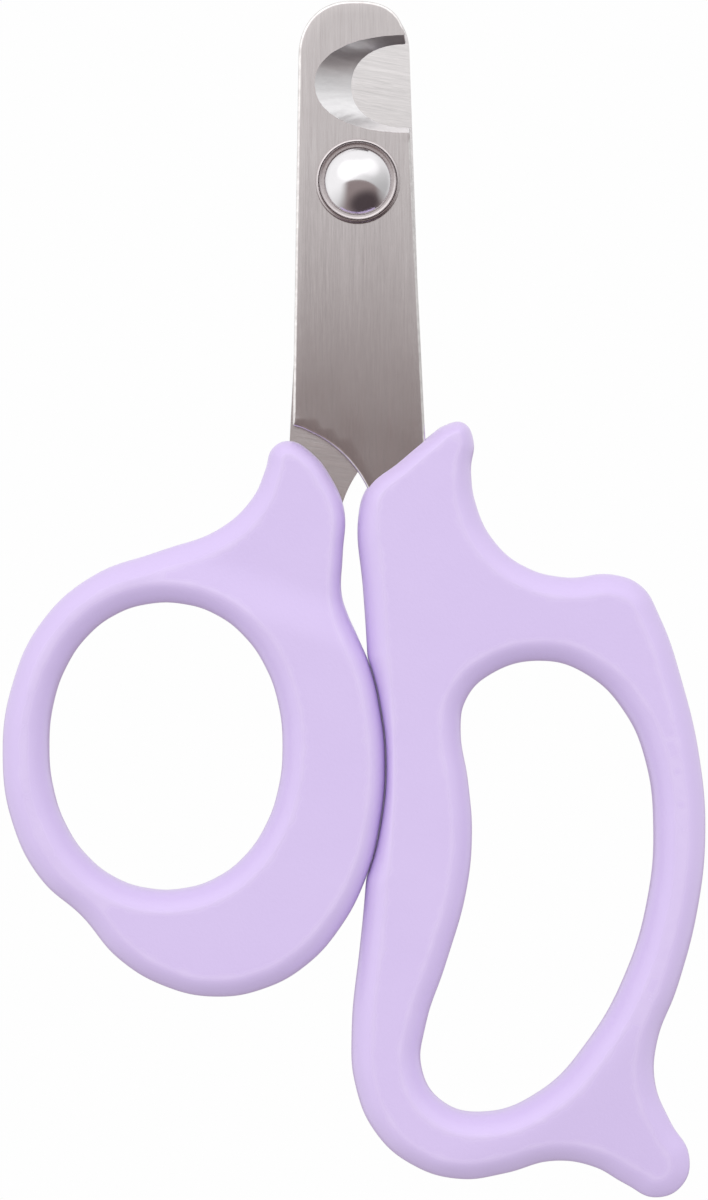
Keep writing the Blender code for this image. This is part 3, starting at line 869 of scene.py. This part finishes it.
def blade(name, node, face, back):
    """A blade between its outer face and its rubbing side. Round the notch the surface is ruled from the
    cutting edge to the rim. Elsewhere a straight wall ends in a quarter round towards the outer face."""
    face_ring, back_ring = (
        soften(smooth_ring(guarded(outlines(node, z)[0]), BLADE_STEP), BLADE_SOFTNESS) for z in (face, back)
    )
    face_ring, rim_count = run_first(face_ring, apart_from(face_ring, back_ring, NOTCH_GAP))
    back_ring, edge_count = run_first(back_ring, apart_from(back_ring, face_ring, NOTCH_GAP))
    edge, wall = back_ring[:edge_count], back_ring[edge_count:]
    rim = along_rays(face_ring[:rim_count], edge)
    up = 1 if face > back else -1
    slope = np.concatenate([np.linspace(0, 0.97, ROUND_ROWS), [1.0]])
    hollow = NOTCH_HOLLOW * 4 * slope * (1 - slope)
    notch_xy = edge[:, None] + (rim - edge)[:, None] * slope[None, :, None]
    notch_z = np.tile(back + (face - back) * slope - up * hollow, (edge_count, 1))
    turn = np.radians(np.linspace(0, 90, ROUND_ROWS - 1))
    normals = inward(back_ring)[edge_count:]
    space = np.minimum(EDGE_WIDTH, 0.8 * room_inside(wall, normals, np.concatenate([rim, wall]), 0.03))
    for blend in (np.min, np.mean):
        space = blend(np.lib.stride_tricks.sliding_window_view(np.pad(space, 4, "edge"), 9), axis=1)
    inset = space[:, None] * np.concatenate([[0, 0], 1 - np.cos(turn)])[None]
    drop = EDGE_DROP * np.concatenate([[1 + WALL_TOP], 1 - np.sin(turn)])
    wall_xy = wall[:, None] + normals[:, None] * inset[:, :, None]
    wall_z = np.tile(back + up * np.concatenate([[0], abs(face - back) - drop]), (len(wall), 1))
    heights = np.concatenate([notch_z, wall_z])[:, :, None]
    grid = np.concatenate([np.concatenate([notch_xy, wall_xy]), heights], axis=2)
    bands = [grid[:, ::up]]
    bottom, top = sorted((face, back))
    for hole in outlines(node, face)[1:]:
        hole = smooth_ring(hole, 0.25)
        ends = [np.column_stack([hole, np.full(len(hole), z)]) for z in (bottom, top)]
        bands.append(np.stack(ends, axis=1))
    made = plate(name, bands, 1.2, lambda xy: np.full(len(xy), top), lambda xy: np.full(len(xy), bottom), 18)
    # Edge numbers for the finishes: rubbed rounds, which the steel also paints paler as a highlight.
    worn_and_highlighted = np.tile(np.concatenate([[0.0, 0.0], np.sin(2 * turn) ** 0.5]), (len(grid), 1))
    worn_and_highlighted[:edge_count] = np.concatenate([np.zeros(ROUND_ROWS), [0.3]])
    mark_edges(made, worn_and_highlighted[:, ::up].ravel())
    return made, edge_count, up


def assign(made, chosen, number):
    """Gives faces the material of that number, where chosen."""
    numbers = np.zeros(len(made.data.polygons), np.int32)
    made.data.polygons.foreach_get("material_index", numbers)
    numbers[chosen] = number
    made.data.polygons.foreach_set("material_index", numbers)


def finish_blade(made, body, node, edge_count, up):
    """Outer face brushed lengthwise, rubbing side ground across, notch and walls ground bright."""
    finish_piece(made, body, [node], LENGTHWISE)
    made.data.materials.append(CROSSWISE)
    made.data.materials.append(GROUND)
    normals = np.empty(len(made.data.polygons) * 3, np.float32)
    made.data.polygons.foreach_get("normal", normals)
    outward = normals.reshape(-1, 3)[:, 2] * up
    assign(made, outward < -0.9, 1)
    assign(made, np.abs(outward) < 0.1, 2)
    assign(made, np.arange(edge_count * ROUND_ROWS), 2)


FRONT = sorted(corner.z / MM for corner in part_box("front_blade"))
REAR = sorted(corner.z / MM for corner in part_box("rear_blade"))
front, edge_count, up = blade("front_blade_steel", "front_blade", round(FRONT[1], 3), round(FRONT[0], 3))
finish_blade(front, "finger_side", "front_blade", edge_count, up)
rear, edge_count, up = blade("rear_blade_steel", "rear_blade", round(REAR[0], 3), round(REAR[1], 3))
finish_blade(rear, "thumb_side", "rear_blade", edge_count, up)

# %% [markdown]
# ## Rivet and washers
# These four are turned on a lathe, so each is a profile, radius against height, carried round the pivot.
# The dome stands in a cup washer with a raised rim, and the socket and a flat washer close the rivet at the
# back.


# %% Turning a profile
def arc_profile(centre, size, start, stop, count):
    """Points (radius, height) on an ellipse about a centre, between two angles in degrees."""
    angle = np.radians(np.linspace(start, stop, count))
    return np.stack([centre[0] + size[0] * np.cos(angle), centre[1] + size[1] * np.sin(angle)], axis=1)


def turned_piece(name, profile, edge, steps=160):
    """A profile carried round the axis: point (r cos a, r sin a, z) for each angle a. The profile runs
    counter-clockwise in the (r, z) plane. Ends on the axis become one point each, and otherwise it
    closes."""
    angle = np.linspace(0, 2 * np.pi, steps, endpoint=False)
    poled = profile[0, 0] < 1e-6
    body = profile[1:-1] if poled else profile
    rows = len(body)
    x, y = np.outer(np.cos(angle), body[:, 0]), np.outer(np.sin(angle), body[:, 0])
    points = np.stack([x, y, np.tile(body[:, 1], (steps, 1))], axis=2).reshape(-1, 3)
    number = np.arange(steps * rows).reshape(steps, rows)
    ahead = np.roll(number, -1, axis=0)
    if not poled:
        number, ahead = (np.concatenate([ids, ids[:, :1]], axis=1) for ids in (number, ahead))
    quads = [number[:, :-1], ahead[:, :-1], ahead[:, 1:], number[:, 1:]]
    faces = np.stack(quads, axis=2).reshape(-1, 4).tolist()
    marks = np.tile(edge[1:-1] if poled else edge, steps)
    if poled:
        points = np.vstack([points, [[0, 0, profile[0, 1]], [0, 0, profile[-1, 1]]]])
        low, high = steps * rows, steps * rows + 1
        faces += np.stack([np.full(steps, low), ahead[:, 0], number[:, 0]], axis=1).tolist()
        faces += np.stack([np.full(steps, high), number[:, -1], ahead[:, -1]], axis=1).tolist()
    made = piece(name, points, faces)
    mark_edges(made, marks)
    return made


def sharpness(profile):
    """How strongly a profile turns at each point, from 0 to 1, for rubbed edges."""
    ahead = np.roll(profile, -1, axis=0) - profile
    heading = np.unwrap(np.arctan2(ahead[:, 1], ahead[:, 0]))
    return np.clip(np.abs(np.diff(heading, prepend=heading[:1])) * 1.2, 0, 1)


def radius_and_heights(node):
    """The greatest radius of a turned solid and its lowest and highest point, in mm."""
    low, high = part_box(node)
    return round((high.x - low.x) / 2 / MM, 3), low.z / MM, high.z / MM


dome_radius, dome_low, dome_high = radius_and_heights("rivet_dome")
DOME_SEAT, DOME_LIP, POST_RADIUS = 6.0, 6.25, 1.3
ball = (dome_radius**2 + (dome_high - DOME_LIP) ** 2) / (2 * (dome_high - DOME_LIP))
reach = math.degrees(math.acos(dome_radius / ball))
dome_profile = np.concatenate([
    [[0, dome_low], [POST_RADIUS - 0.15, dome_low], [POST_RADIUS, dome_low + 0.15], [POST_RADIUS, DOME_SEAT]],
    arc_profile((dome_radius - 0.1, DOME_SEAT + 0.1), (0.1, 0.1), -90, 0, 5),
    arc_profile((0, dome_high - ball), (ball, ball), reach, 90, 40),
])
dome_profile[-1, 0] = 0
dome = turned_piece("rivet_dome_polished", dome_profile, np.zeros(len(dome_profile)))
finish_piece(dome, "finger_side", ["rivet_dome"], CHROME)

cup_radius, cup_low, cup_high = radius_and_heights("cup_washer")
CUP_BORE, CUP_FLOOR, CUP_CREST, CUP_COVE = 2.15, 5.95, 4.2, 3.78
cup_profile = np.concatenate([
    [[CUP_BORE, cup_low]],
    arc_profile((cup_radius - 0.12, cup_low + 0.12), (0.12, 0.12), -90, 0, 5),
    arc_profile((CUP_CREST, cup_high - 0.25), (cup_radius - CUP_CREST, 0.25), 0, 90, 8),
    arc_profile((CUP_COVE, cup_high), (CUP_CREST - CUP_COVE, cup_high - CUP_FLOOR), -8, -90, 9),
    [[CUP_BORE, CUP_FLOOR]],
])
cup = turned_piece("cup_washer_polished", cup_profile, sharpness(cup_profile))
finish_piece(cup, "finger_side", ["cup_washer"], WASHER)

socket_radius, socket_low, socket_high = radius_and_heights("rivet_socket")
SOCKET_HEAD, SOCKET_TUBE, SOCKET_BORE, BORE_FLOOR = 1.3, 2.0, 1.38, 1.0
socket_profile = np.concatenate([
    [[0, socket_low], [socket_radius - 1.6, socket_low]],
    arc_profile((socket_radius - 1.6, socket_low + 1.0), (1.6, 1.0), -80, 0, 9),
    arc_profile((socket_radius - 0.12, SOCKET_HEAD - 0.12), (0.12, 0.12), 0, 90, 4),
    [[SOCKET_TUBE, SOCKET_HEAD], [SOCKET_TUBE, socket_high], [SOCKET_BORE, socket_high]],
    [[SOCKET_BORE, BORE_FLOOR], [0, BORE_FLOOR]],
])
socket = turned_piece("rivet_socket_polished", socket_profile, sharpness(socket_profile))
finish_piece(socket, "finger_side", ["rivet_socket"], CHROME)

back_radius, back_low, back_high = radius_and_heights("back_washer")
back_profile = np.concatenate([
    [[CUP_BORE, back_low]],
    arc_profile((back_radius - 0.15, back_low + 0.15), (0.15, 0.15), -90, 0, 5),
    arc_profile((back_radius - 0.15, back_high - 0.15), (0.15, 0.15), 0, 90, 5),
    [[CUP_BORE, back_high]],
])
washer = turned_piece("back_washer_polished", back_profile, sharpness(back_profile))
finish_piece(washer, "finger_side", ["back_washer"], CHROME)
